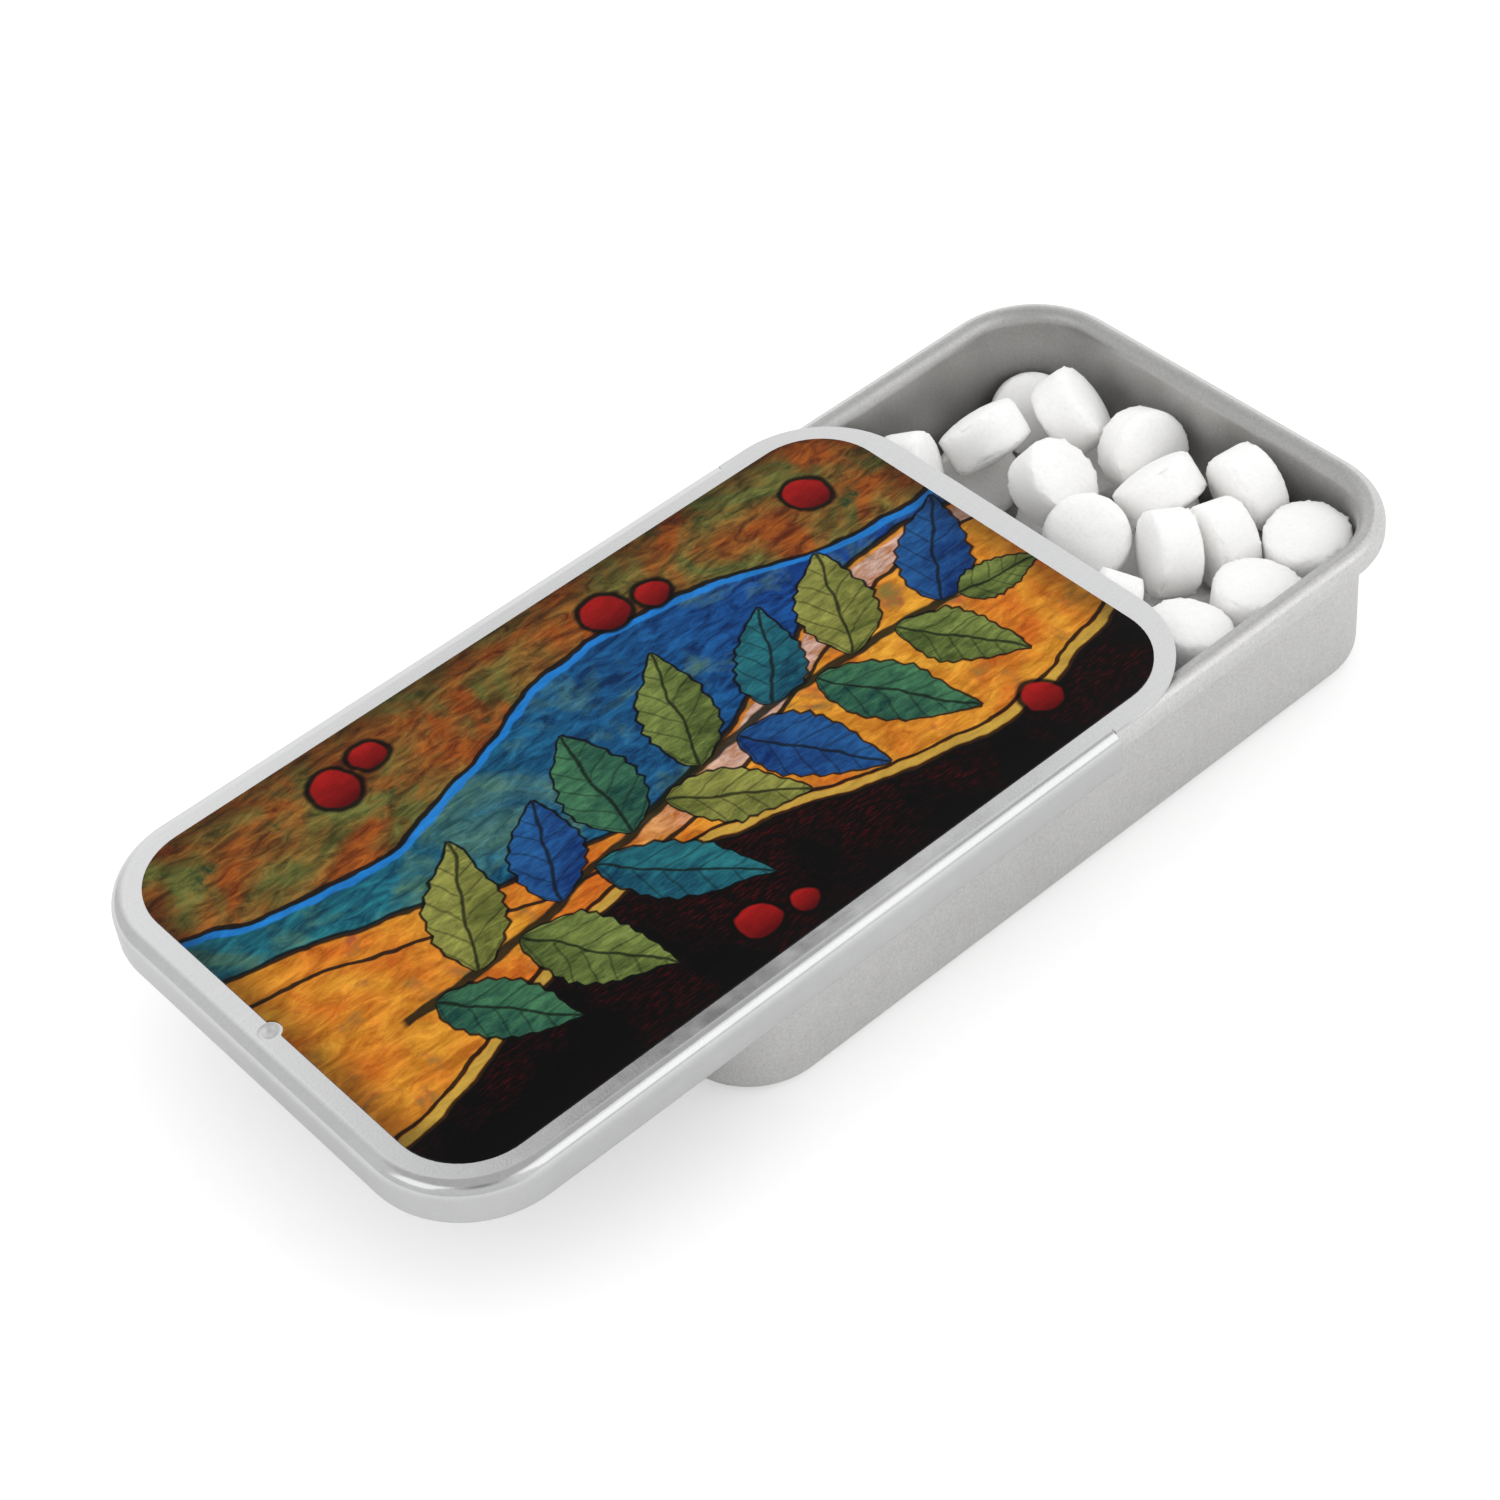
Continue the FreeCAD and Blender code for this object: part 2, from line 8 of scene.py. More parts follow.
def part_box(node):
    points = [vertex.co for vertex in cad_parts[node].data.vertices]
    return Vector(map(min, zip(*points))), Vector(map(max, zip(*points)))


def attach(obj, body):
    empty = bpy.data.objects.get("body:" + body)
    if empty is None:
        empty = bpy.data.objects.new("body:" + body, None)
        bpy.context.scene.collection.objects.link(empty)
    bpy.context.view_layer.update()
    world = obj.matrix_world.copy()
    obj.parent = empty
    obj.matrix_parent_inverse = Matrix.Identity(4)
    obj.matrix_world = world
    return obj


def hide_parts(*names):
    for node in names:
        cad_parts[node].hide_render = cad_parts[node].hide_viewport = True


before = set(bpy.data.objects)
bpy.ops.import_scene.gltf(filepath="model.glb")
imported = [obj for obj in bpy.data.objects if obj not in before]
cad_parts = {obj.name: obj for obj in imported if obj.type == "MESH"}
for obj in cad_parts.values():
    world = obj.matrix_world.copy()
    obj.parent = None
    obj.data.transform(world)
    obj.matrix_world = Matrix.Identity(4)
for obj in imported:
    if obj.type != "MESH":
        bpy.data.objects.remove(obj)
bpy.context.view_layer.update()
scene = bpy.context.scene
scene.view_settings.view_transform = "Standard"

# Blender works in metres, so a length in millimetres is written times MM.
MM = 0.001
UP = Vector((0, 0, 1))
ACROSS = Vector((0, 1, 0))

# Sheet metal of the tray and the lid. RAIL_TURN is in degrees, and DIMPLE_SLOPE is the share of the
# dimple's radius over which it falls.
GAUGE = 0.25 * MM
CORNER = 6.8 * MM
CURL = 0.87 * MM
CURL_DROP = 0.6 * MM
FOOT = 1.2 * MM
SHOULDER = 0.9 * MM
RAIL_BEND = 0.5 * MM
RAIL_TURN = 135
RAIL_LIP = 0.45 * MM
RAIL_STOP = 9.35 * MM
TONGUE_INSET = 0.46 * MM
TONGUE_CORNER = 7.1 * MM
DIMPLE_INSET = 1.73 * MM
DIMPLE_RADIUS = 0.7 * MM
DIMPLE_COLLAR = 0.04 * MM
DIMPLE_DEPTH = 0.22 * MM
DIMPLE_SLOPE = 0.85
FLAT_MARGIN = 0.1 * MM
EDGE_EASE = 0.05 * MM
MERGE = 0.002 * MM

CORNER_STEPS = 20
FOOT_STEPS = 8
CURL_STEPS = 18
CURL_INNER_STEPS = 14
BEND_STEPS = 10
DIMPLE_STEPS = 10
DIMPLE_TURNS = 28
SHARP = math.radians(22)
CUT_EDGE = math.radians(60)


# Drawing and sweeping sheet metal

def trace_line(bm, vert, target):
    new = bmesh.ops.extrude_vert_indiv(bm, verts=[vert])["verts"][0]
    new.co = target
    return new


def trace_arc(bm, vert, centre, axis, degrees, steps):
    turned = bmesh.ops.spin(
        bm, geom=[vert], cent=centre, axis=axis, angle=math.radians(degrees), steps=steps)
    return [item for item in turned["geom_last"] if isinstance(item, bmesh.types.BMVert)][0]


def sweep(bm, moves):
    """Carry the drawn chain of edges along straight runs and round quarter turns."""
    last = bm.edges[:]
    for kind, where in moves:
        if kind == "run":
            grown = bmesh.ops.extrude_edge_only(bm, edges=last)["geom"]
            verts = [item for item in grown if isinstance(item, bmesh.types.BMVert)]
            bmesh.ops.translate(bm, verts=verts, vec=where)
            moved = set(verts)
            last = [item for item in grown
                    if isinstance(item, bmesh.types.BMEdge) and set(item.verts) <= moved]
        else:
            verts = list(dict.fromkeys(vert for edge in last for vert in edge.verts))
            turned = bmesh.ops.spin(
                bm, geom=verts + last, cent=where, axis=UP, angle=math.radians(90),
                steps=CORNER_STEPS)
            last = [item for item in turned["geom_last"] if isinstance(item, bmesh.types.BMEdge)]


def ease_cut_edges(bm):
    """Take the sharpness off cut sheet edges with a tiny bevel."""
    cut = [edge for edge in bm.edges
           if len(edge.link_faces) == 2 and edge.calc_face_angle(0) > CUT_EDGE]
    bmesh.ops.bevel(
        bm, geom=cut, offset=EDGE_EASE, offset_type="OFFSET", affect="EDGES", segments=2,
        profile=0.5, material=-1, clamp_overlap=True)


def finish_piece(bm, name, material, body, node, sharp=SHARP):
    mesh = bpy.data.meshes.new(name)
    bm.to_mesh(mesh)
    bm.free()
    mesh.shade_smooth()
    mesh.set_sharp_from_angle(angle=sharp)
    mesh.materials.append(material)
    piece = bpy.data.objects.new(name, mesh)
    scene.collection.objects.link(piece)
    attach(piece, body)
    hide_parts(node)


def tray_mesh():
    """The drawn tray: floor, foot, wall and outward curl, as one closed shell."""
    _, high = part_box("tray")
    rim_x, rim_y, top = high.x, high.y, high.z
    turn_x, turn_y = rim_x - CORNER, rim_y - CORNER
    wall = rim_x - 2 * CURL + GAUGE
    foot_x = wall - FOOT
    curl_x, curl_z = wall - GAUGE + CURL, top - CURL
    leg = curl_z - CURL_DROP
    bm = bmesh.new()

    def at(x, z):
        return Vector((x, -turn_y, z))

    start = bm.verts.new(at(foot_x - FLAT_MARGIN, GAUGE))
    vert = trace_line(bm, start, at(foot_x, GAUGE))
    vert = trace_arc(bm, vert, at(foot_x, FOOT), -ACROSS, 90, FOOT_STEPS)
    vert = trace_line(bm, vert, at(wall - GAUGE, curl_z))
    vert = trace_arc(bm, vert, at(curl_x, curl_z), ACROSS, 180, CURL_STEPS)
    vert = trace_line(bm, vert, at(rim_x, leg))
    vert = trace_line(bm, vert, at(rim_x - GAUGE, leg))
    vert = trace_line(bm, vert, at(rim_x - GAUGE, curl_z))
    vert = trace_arc(bm, vert, at(curl_x, curl_z), -ACROSS, 180, CURL_INNER_STEPS)
    vert = trace_line(bm, vert, at(wall, FOOT))
    vert = trace_arc(bm, vert, at(foot_x, FOOT), ACROSS, 90, FOOT_STEPS)
    trace_line(bm, vert, at(foot_x - FLAT_MARGIN, 0))
    sweep(bm, [
        ("run", Vector((0, 2 * turn_y, 0))),
        ("turn", Vector((turn_x, turn_y, 0))),
        ("run", Vector((-2 * turn_x, 0, 0))),
        ("turn", Vector((-turn_x, turn_y, 0))),
        ("run", Vector((0, -2 * turn_y, 0))),
        ("turn", Vector((-turn_x, -turn_y, 0))),
        ("run", Vector((2 * turn_x, 0, 0))),
        ("turn", Vector((turn_x, -turn_y, 0))),
    ])
    bmesh.ops.remove_doubles(bm, verts=bm.verts, dist=MERGE)
    bmesh.ops.edgeloop_fill(bm, edges=[edge for edge in bm.edges if edge.is_boundary])
    bmesh.ops.recalc_face_normals(bm, faces=bm.faces)
    ease_cut_edges(bm)
    return bm


def lid_mesh():
    """The drawn lid: plate, shoulder, skirt and turned-in rails, with its tongue and dimple."""
    low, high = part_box("sliding_lid")
    near, far, half, top, foot = low.x, high.x, high.y, high.z, low.z
    rail_end = far - RAIL_STOP
    turn_x, turn_y = near + CORNER, half - CORNER
    flat = half - SHOULDER
    bm = bmesh.new()

    def at(y, z):
        return Vector((rail_end, y, z))

    def on_plate(x, y):
        return Vector((x, y, top))

    inward = Vector((-1, 0, 0))
    start = bm.verts.new(at(flat - FLAT_MARGIN, top))
    vert = trace_line(bm, start, at(flat, top))
    vert = trace_arc(bm, vert, at(flat, top - SHOULDER), inward, 90, BEND_STEPS)
    vert = trace_line(bm, vert, at(half, foot + RAIL_BEND))
    vert = trace_arc(
        bm, vert, at(half - RAIL_BEND, foot + RAIL_BEND), inward, RAIL_TURN, BEND_STEPS)
    slant = RAIL_LIP * math.sqrt(0.5)
    trace_line(bm, vert, vert.co + Vector((0, -slant, slant)))
    run = turn_x - rail_end
    sweep(bm, [
        ("run", Vector((run, 0, 0))),
        ("turn", Vector((turn_x, turn_y, 0))),
        ("run", Vector((0, -2 * turn_y, 0))),
        ("turn", Vector((turn_x, -turn_y, 0))),
        ("run", Vector((-run, 0, 0))),
    ])
    bmesh.ops.remove_doubles(bm, verts=bm.verts, dist=MERGE)

    side = half - TONGUE_INSET
    bend_x, bend_y = far - TONGUE_CORNER, side - TONGUE_CORNER
    plate_end = on_plate(rail_end, -flat)
    vert = min(bm.verts, key=lambda item: (item.co - plate_end).length)
    vert = trace_line(bm, vert, on_plate(rail_end, -side))
    vert = trace_line(bm, vert, on_plate(bend_x, -side))
    vert = trace_arc(bm, vert, on_plate(bend_x, -bend_y), UP, 90, CORNER_STEPS)
    vert = trace_line(bm, vert, on_plate(far, bend_y))
    vert = trace_arc(bm, vert, on_plate(bend_x, bend_y), UP, 90, CORNER_STEPS)
    vert = trace_line(bm, vert, on_plate(rail_end, side))
    trace_line(bm, vert, on_plate(rail_end, flat))

    middle = on_plate(near + DIMPLE_INSET, 0)
    dish = [bm.verts.new(middle + Vector((DIMPLE_RADIUS, 0, 0)))]
    reach = DIMPLE_RADIUS - DIMPLE_COLLAR
    for step in range(DIMPLE_STEPS + 1):
        share = step / DIMPLE_STEPS
        fall = 0.5 - 0.5 * math.cos(math.pi * min(1.0, share / DIMPLE_SLOPE))
        offset = Vector((reach * (1 - share), 0, -DIMPLE_DEPTH * fall))
        dish.append(trace_line(bm, dish[-1], middle + offset))
    edges = list(dict.fromkeys(edge for vert in dish for edge in vert.link_edges))
    bmesh.ops.spin(
        bm, geom=dish + edges, cent=middle, axis=UP, angle=2 * math.pi, steps=DIMPLE_TURNS,
        use_merge=True)
    bmesh.ops.remove_doubles(bm, verts=bm.verts, dist=MERGE)

    def open_plate_edge(edge):
        level = all(abs(vert.co.z - top) < MERGE for vert in edge.verts)
        at_rail = all(abs(abs(vert.co.y) - flat) < MERGE and vert.co.x > rail_end - MERGE
                      for vert in edge.verts)
        return level and len(edge.link_faces) < 2 and not at_rail

    bmesh.ops.triangle_fill(
        bm, use_beauty=True, edges=[edge for edge in bm.edges if open_plate_edge(edge)])
    bmesh.ops.recalc_face_normals(bm, faces=bm.faces)
    plate = max(bm.faces, key=lambda face: face.calc_area())
    if plate.normal.z < 0:
        bmesh.ops.reverse_faces(bm, faces=bm.faces)
    bmesh.ops.solidify(bm, geom=bm.faces[:], thickness=GAUGE)
    bmesh.ops.recalc_face_normals(bm, faces=bm.faces)
    ease_cut_edges(bm)
    return bm


# Pressed mints

MINT_COUNT = 37
MINT_RADIUS = 2.825 * MM
MINT_HALF = 1.825 * MM
MINT_BAND = 1.325 * MM
MINT_TURNS = 120
DOME_STEPS = 18
BAND_STEPS = 16
CRUMBLED = math.radians(80)

# Wear of a mint: pitches are per millimetre and depths in millimetres.
WEAR_REACH = 0.5 * MM
WEAR_POWER = 1.5
CRUMB_PITCH = 1.5
GRIT_PITCH = 3.6
CHIP_PITCH = 0.75
CHIP_FROM = 0.16
EDGE_WEAR = 0.12
EDGE_CRUMB = 0.11
EDGE_GRIT = 0.14
EDGE_CHIP = 0.40
FACE_CRUMB = 0.016
FACE_GRIT = 0.014
MOST_SWELL = 0.012
SEED_STEPS = (3.7, 1.9, 5.3)


def mint_mesh(node, seed):
    """One mint at its own place: two domes and a band, with chipped, crumbly edges."""
    low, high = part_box(node.name)
    middle = (low + high) / 2
    # The point nearest to a mint's middle is the top of one of its domes.
    pole = min((vert.co for vert in node.data.vertices), key=lambda spot: (spot - middle).length)
    axis = (pole - middle).normalized()
    rise = MINT_HALF - MINT_BAND
    ball = (MINT_RADIUS ** 2 + rise ** 2) / (2 * rise)
    half_angle = math.degrees(math.asin(MINT_RADIUS / ball))
    bm = bmesh.new()
    vert = bm.verts.new(Vector((0, 0, MINT_HALF)))
    vert = trace_arc(bm, vert, Vector((0, 0, MINT_HALF - ball)), ACROSS, half_angle, DOME_STEPS)
    for step in range(1, BAND_STEPS + 1):
        level = MINT_BAND * (1 - 2 * step / BAND_STEPS)
        vert = trace_line(bm, vert, Vector((MINT_RADIUS, 0, level)))
    trace_arc(bm, vert, Vector((0, 0, ball - MINT_HALF)), ACROSS, half_angle, DOME_STEPS)
    bmesh.ops.spin(
        bm, geom=bm.verts[:] + bm.edges[:], cent=Vector(), axis=UP, angle=2 * math.pi,
        steps=MINT_TURNS, use_merge=True)
    bmesh.ops.remove_doubles(bm, verts=bm.verts, dist=MERGE)
    bmesh.ops.recalc_face_normals(bm, faces=bm.faces)
    bm.normal_update()
    shift = Vector([seed * step for step in SEED_STEPS])
    moves = []
    for vert in bm.verts:
        radius = math.hypot(vert.co.x, vert.co.y)
        from_edge = math.hypot(radius - MINT_RADIUS, abs(vert.co.z) - MINT_BAND)
        edge = max(0.0, 1 - from_edge / WEAR_REACH) ** WEAR_POWER
        spot = vert.co / MM
        crumb = noise.noise(spot * CRUMB_PITCH + shift)
        grit = noise.noise(spot * GRIT_PITCH + shift)
        chip = max(0.0, noise.noise(spot * CHIP_PITCH + shift * 2) - CHIP_FROM)
        worn = EDGE_WEAR + EDGE_CRUMB * crumb + EDGE_GRIT * grit + EDGE_CHIP * chip
        drop = edge * worn + FACE_CRUMB * crumb + FACE_GRIT * grit
        moves.append((vert, vert.normal * (-max(drop, -MOST_SWELL) * MM)))
    for vert, move in moves:
        vert.co += move
    turn = UP.rotation_difference(axis).to_matrix().to_4x4()
    bmesh.ops.transform(bm, matrix=Matrix.Translation(middle) @ turn, verts=bm.verts)
    return bm


# Material building

NOISE_RANGE = (0.3, 0.7)


def srgb(red, green, blue):
    def linear(part):
        part /= 255
        return part / 12.92 if part <= 0.04045 else ((part + 0.055) / 1.055) ** 2.4
    return (linear(red), linear(green), linear(blue), 1.0)


class Web:
    """Short calls for building a node tree."""

    def __init__(self, tree):
        self.tree = tree

    def add(self, kind, **settings):
        node = self.tree.nodes.new(kind)
        for name, value in settings.items():
            setattr(node, name, value)
        return node

    def feed(self, socket, value):
        if isinstance(value, bpy.types.NodeSocket):
            self.tree.links.new(value, socket)
        else:
            socket.default_value = value

    def math(self, operation, first, second=0.0, third=0.0, clamp=False):
        node = self.add("ShaderNodeMath", operation=operation, use_clamp=clamp)
        for socket, value in zip(node.inputs, (first, second, third)):
            self.feed(socket, value)
        return node.outputs[0]

    def plus(self, first, second):
        return self.math("ADD", first, second)

    def minus(self, first, second):
        return self.math("SUBTRACT", first, second)

    def times(self, first, second):
        return self.math("MULTIPLY", first, second)

    def vector(self, operation, first, second=(0, 0, 0), output="Vector"):
        node = self.add("ShaderNodeVectorMath", operation=operation)
        self.feed(node.inputs[0], first)
        self.feed(node.inputs[1], second)
        return node.outputs[output]

    def length(self, vector):
        return self.vector("LENGTH", vector, output="Value")

    def distance(self, first, second):
        return self.vector("DISTANCE", first, second, output="Value")

    def mapped(self, vector, location=(0, 0, 0), rotation=(0, 0, 0), scale=(1, 1, 1)):
        node = self.add("ShaderNodeMapping")
        self.feed(node.inputs["Vector"], vector)
        node.inputs["Location"].default_value = location
        node.inputs["Rotation"].default_value = rotation
        node.inputs["Scale"].default_value = scale
        return node.outputs["Vector"]

    def noise(self, vector, scale, detail=2.0, roughness=0.5, distortion=0.0, output="Fac"):
        node = self.add("ShaderNodeTexNoise")
        self.feed(node.inputs["Vector"], vector)
        node.inputs["Scale"].default_value = scale
        node.inputs["Detail"].default_value = detail
        node.inputs["Roughness"].default_value = roughness
        node.inputs["Distortion"].default_value = distortion
        return node.outputs[output]

    def span(self, value, low, high, to_low=0.0, to_high=1.0, smooth=False):
        """Carry the range from low to high over to the range from to_low to to_high."""
        node = self.add("ShaderNodeMapRange", clamp=True)
        node.interpolation_type = "SMOOTHSTEP" if smooth else "LINEAR"
        for name, part in (("Value", value), ("From Min", low), ("From Max", high),
                           ("To Min", to_low), ("To Max", to_high)):
            self.feed(node.inputs[name], part)
        return node.outputs["Result"]

    def vary(self, value, to_low, to_high):
        """Carry the usual range of a noise over to the range from to_low to to_high."""
        return self.span(value, *NOISE_RANGE, to_low, to_high)

    def mix(self, factor, first, second, blend="MIX"):
        node = self.add("ShaderNodeMix", data_type="RGBA", blend_type=blend)
        self.feed(node.inputs["Factor"], factor)
        self.feed(node.inputs[6], first)
        self.feed(node.inputs[7], second)
        return node.outputs[2]

    def split(self, vector):
        node = self.add("ShaderNodeSeparateXYZ")
        self.feed(node.inputs[0], vector)
        return node.outputs[0], node.outputs[1], node.outputs[2]

    def join(self, x, y, z=0.0):
        node = self.add("ShaderNodeCombineXYZ")
        for socket, value in zip(node.inputs, (x, y, z)):
            self.feed(socket, value)
        return node.outputs[0]

    def shaded(self, color, shade):
        return self.mix(1.0, color, self.join(shade, shade, shade), "MULTIPLY")

    def bump(self, height, strength, distance):
        node = self.add("ShaderNodeBump")
        node.inputs["Strength"].default_value = strength
        node.inputs["Distance"].default_value = distance
        self.feed(node.inputs["Height"], height)
        return node.outputs["Normal"]


def new_material(name, **sockets):
    material = bpy.data.materials.new(name)
    material.use_nodes = True
    web = Web(material.node_tree)
    shader = material.node_tree.nodes["Principled BSDF"]
    for socket, value in sockets.items():
        shader.inputs[socket.replace("_", " ")].default_value = value
    place = web.add("ShaderNodeTexCoord").outputs["Object"]
    return material, web, shader, place


def new_group(name, inputs, outputs):
    tree = bpy.data.node_groups.new(name, "ShaderNodeTree")
    for label, kind, value in inputs:
        socket = tree.interface.new_socket(name=label, in_out="INPUT", socket_type=kind)
        if value is not None:
            socket.default_value = value
    for label, kind in outputs:
        tree.interface.new_socket(name=label, in_out="OUTPUT", socket_type=kind)
    web = Web(tree)
    return tree, web, web.add("NodeGroupInput").outputs, web.add("NodeGroupOutput").inputs


def place_group(web, tree, **values):
    node = web.add("ShaderNodeGroup", node_tree=tree)
    for name, value in values.items():
        web.feed(node.inputs[name.replace("_", " ")], value)
    return node.outputs


# Tinplate: the shades are factors of painted shade on its colour, and the amounts with DULL are
# added to roughness.
# A fade is a range of heights, distances or lengths, where one look goes over into the next.
# DUST is the share of the tray's floor colour that mint dust takes.
SKIRT_PAINTED_SHADE = 0.86
SKIRT_FADE = (11.25 * MM, 11.65 * MM)
DIMPLE_DULL = 0.34
DIMPLE_FADE = 0.15 * MM
INSIDE_PAINTED_SHADE = 0.79
LOW_PAINTED_SHADE = 0.68
DEPTH_FADE = (4 * MM, 10.5 * MM)
INSIDE_DULL = 0.12
INSIDE_FADE = (-0.08 * MM, 0.06 * MM)
CURL_FADE = (-0.2 * MM, 0.1 * MM)
CURL_OVERLAP = 0.14 * MM
DUST = 0.85
DUST_COLOR = srgb(242, 241, 238)
DUST_HEIGHT_FADE = (0.3 * MM, 0.9 * MM)
DUST_LENGTH_FADE = (0.0, 7 * MM)
TIN_BUMP = 0.2
FINE_BUMP_DEPTH = 0.02 * MM


def tin_finish_group():
    """Satin tinplate: fine speckle, a faint drawn grain, smudges and hair scratches."""
    tree, web, given, out = new_group("tin_finish", [
        ("Grain Place", "NodeSocketVector", None),
        ("Place", "NodeSocketVector", None),
        ("Tint", "NodeSocketColor", (0.8, 0.8, 0.8, 1)),
        ("Dull", "NodeSocketFloat", 0.36),
        ("Speckle", "NodeSocketFloat", 0.05),
    ], [
        ("Color", "NodeSocketColor"),
        ("Roughness", "NodeSocketFloat"),
        ("Height", "NodeSocketFloat"),
    ])
    grain = web.noise(given["Grain Place"], scale=1.0, detail=4.0, roughness=0.6)
    scratch = web.noise(given["Grain Place"], scale=0.35, detail=3.0, roughness=0.7)
    mottle = web.noise(given["Place"], scale=6000.0, detail=3.0, roughness=0.7)
    cloud = web.noise(given["Place"], scale=700.0, detail=3.0, roughness=0.6)
    smudge = web.noise(given["Place"], scale=90.0, detail=3.0, roughness=0.55, distortion=0.4)
    streak = web.span(scratch, 0.56, 0.74)
    speck = web.times(web.vary(mottle, -1.0, 1.0), given["Speckle"])
    shade = web.plus(web.vary(grain, -0.012, 0.012), speck)
    shade = web.plus(shade, web.vary(cloud, -0.02, 0.02))
    shade = web.plus(shade, web.vary(smudge, 0.97, 1.02))
    web.feed(out["Color"], web.shaded(given["Tint"], shade))
    rough = web.plus(given["Dull"], web.vary(smudge, -0.05, 0.06))
    rough = web.plus(rough, web.vary(cloud, -0.03, 0.03))
    rough = web.math("SUBTRACT", rough, web.times(streak, 0.04), clamp=True)
    web.feed(out["Roughness"], rough)
    height = web.plus(web.times(grain, 0.15), web.times(mottle, 0.7))
    web.feed(out["Height"], web.minus(height, web.times(streak, 0.08)))
    return tree


def tin_material(name, finish, grain, tint, dull, speckle):
    material, web, shader, place = new_material(name, Metallic=1.0)
    made = place_group(
        web, finish, Grain_Place=web.mapped(place, scale=grain), Place=place, Tint=tint, Dull=dull,
        Speckle=speckle)
    web.feed(shader.inputs["Normal"], web.bump(made["Height"], TIN_BUMP, FINE_BUMP_DEPTH))
    return material, web, shader, place, made


def lid_material(finish):
    """Bright tinplate with painted shade on its lower skirt and a duller dimple."""
    material, web, shader, place, made = tin_material(
        "lid_tinplate", finish, grain=(260, 5200, 5200), tint=(0.73, 0.732, 0.738, 1), dull=0.16,
        speckle=0.03)
    low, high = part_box("sliding_lid")
    _, _, height = web.split(place)
    # Painted shade: the lower skirt is darkened, standing in for the shaded floor that it mirrors.
    shade = web.span(height, *SKIRT_FADE, SKIRT_PAINTED_SHADE, 1.0)
    web.feed(shader.inputs["Base Color"], web.shaded(made["Color"], shade))
    from_dimple = web.distance(place, (low.x + DIMPLE_INSET, 0, high.z))
    pressed = web.span(
        from_dimple, DIMPLE_RADIUS - DIMPLE_FADE, DIMPLE_RADIUS, DIMPLE_DULL, 0.0)
    web.feed(shader.inputs["Roughness"], web.plus(made["Roughness"], pressed))
    return material


def tray_material(finish):
    """Satin tinplate, duller within the curl and darkened there by painted shade, more so lower
    down, with mint dust on its floor.
    """
    material, web, shader, place, made = tin_material(
        "tray_tinplate", finish, grain=(4200, 4200, 220), tint=(0.70, 0.696, 0.683, 1), dull=0.36,
        speckle=0.11)
    _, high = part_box("tray")
    along, _, height = web.split(place)
    # How far a place lies out from the lines that join the centres of the rounded corners
    turn = (high.x - CORNER, high.y - CORNER, 0)
    past = web.vector("SUBTRACT", web.vector("ABSOLUTE", place), turn)
    past_x, past_y, _ = web.split(past)
    beyond = web.length(web.join(
        web.math("MAXIMUM", past_x, 0.0), web.math("MAXIMUM", past_y, 0.0)))
    within = web.math("MINIMUM", web.math("MAXIMUM", past_x, past_y), 0.0)
    reach = web.plus(beyond, within)
    # The same, bent round the foot, so that one border parts the sheet's inside from its outside
    foot_line = CORNER - 2 * CURL + GAUGE - FOOT
    out = web.math("MAXIMUM", web.minus(reach, foot_line), 0.0)
    down = web.math("MAXIMUM", web.minus(FOOT, height), 0.0)
    bent = web.length(web.join(out, down))
    curl_low, curl_high = (high.z - CURL + part for part in CURL_FADE)
    border = web.span(
        height, curl_low, curl_high, FOOT - GAUGE / 2, FOOT + CURL - GAUGE + CURL_OVERLAP)
    inside = web.span(web.minus(bent, border), *INSIDE_FADE, 1.0, 0.0)
    # Painted shade: inside the curl the tin is darkened, and more so lower down towards the floor.
    depth_painted_shade = web.span(height, *DEPTH_FADE, LOW_PAINTED_SHADE, INSIDE_PAINTED_SHADE)
    color = web.shaded(made["Color"], web.span(inside, 0.0, 1.0, 1.0, depth_painted_shade))
    on_floor = web.times(inside, web.span(height, *DUST_HEIGHT_FADE, 1.0, 0.0))
    specks = web.noise(place, scale=800.0, detail=4.0, roughness=0.65)
    patchy = web.span(specks, 0.35, 0.6, 0.4, 1.0)
    dust = web.times(web.span(along, *DUST_LENGTH_FADE), web.times(on_floor, patchy))
    dust = web.times(dust, DUST)
    web.feed(shader.inputs["Base Color"], web.mix(dust, color, DUST_COLOR))
    web.feed(shader.inputs["Metallic"], web.minus(1.0, dust))
    rough = web.math("MULTIPLY_ADD", inside, INSIDE_DULL, made["Roughness"])
    web.feed(shader.inputs["Roughness"], web.math("MAXIMUM", rough, dust))
    return material


MINT_WHITE = srgb(252, 251, 249)
MINT_BUMP = 0.5
MINT_BUMP_DEPTH = 0.09 * MM


def mint_material():
    """Chalky pressed sugar, with fine pores and a faint inner glow."""
    material, web, shader, place = new_material(
        "pressed_mint", Subsurface_Weight=0.7, Subsurface_Scale=0.001, IOR=1.45)
    shader.inputs["Subsurface Radius"].default_value = (1.0, 1.0, 1.0)
    shader.inputs["Specular IOR Level"].default_value = 0.25
    fine = web.noise(place, scale=4200.0, detail=4.0, roughness=0.65)
    coarse = web.noise(place, scale=900.0, detail=3.0, roughness=0.6)
    pores = web.add("ShaderNodeTexVoronoi")
    web.feed(pores.inputs["Vector"], place)
    pores.inputs["Scale"].default_value = 2600.0
    pit = web.span(pores.outputs["Distance"], 0.05, 0.28)
    # Painted shade: the middle of each sunken pore is a little darker.
    shade = web.times(web.vary(fine, 0.95, 1.02), web.span(pit, 0.0, 1.0, 0.96, 1.0))
    shade = web.times(shade, web.vary(coarse, 0.97, 1.02))
    web.feed(shader.inputs["Base Color"], web.shaded(MINT_WHITE, shade))
    web.feed(shader.inputs["Roughness"], web.vary(coarse, 0.78, 0.95))
    height = web.plus(web.times(fine, 0.5), web.times(coarse, 0.7))
    height = web.plus(height, web.times(pit, 0.25))
    web.feed(shader.inputs["Normal"], web.bump(height, MINT_BUMP, MINT_BUMP_DEPTH))
    return material


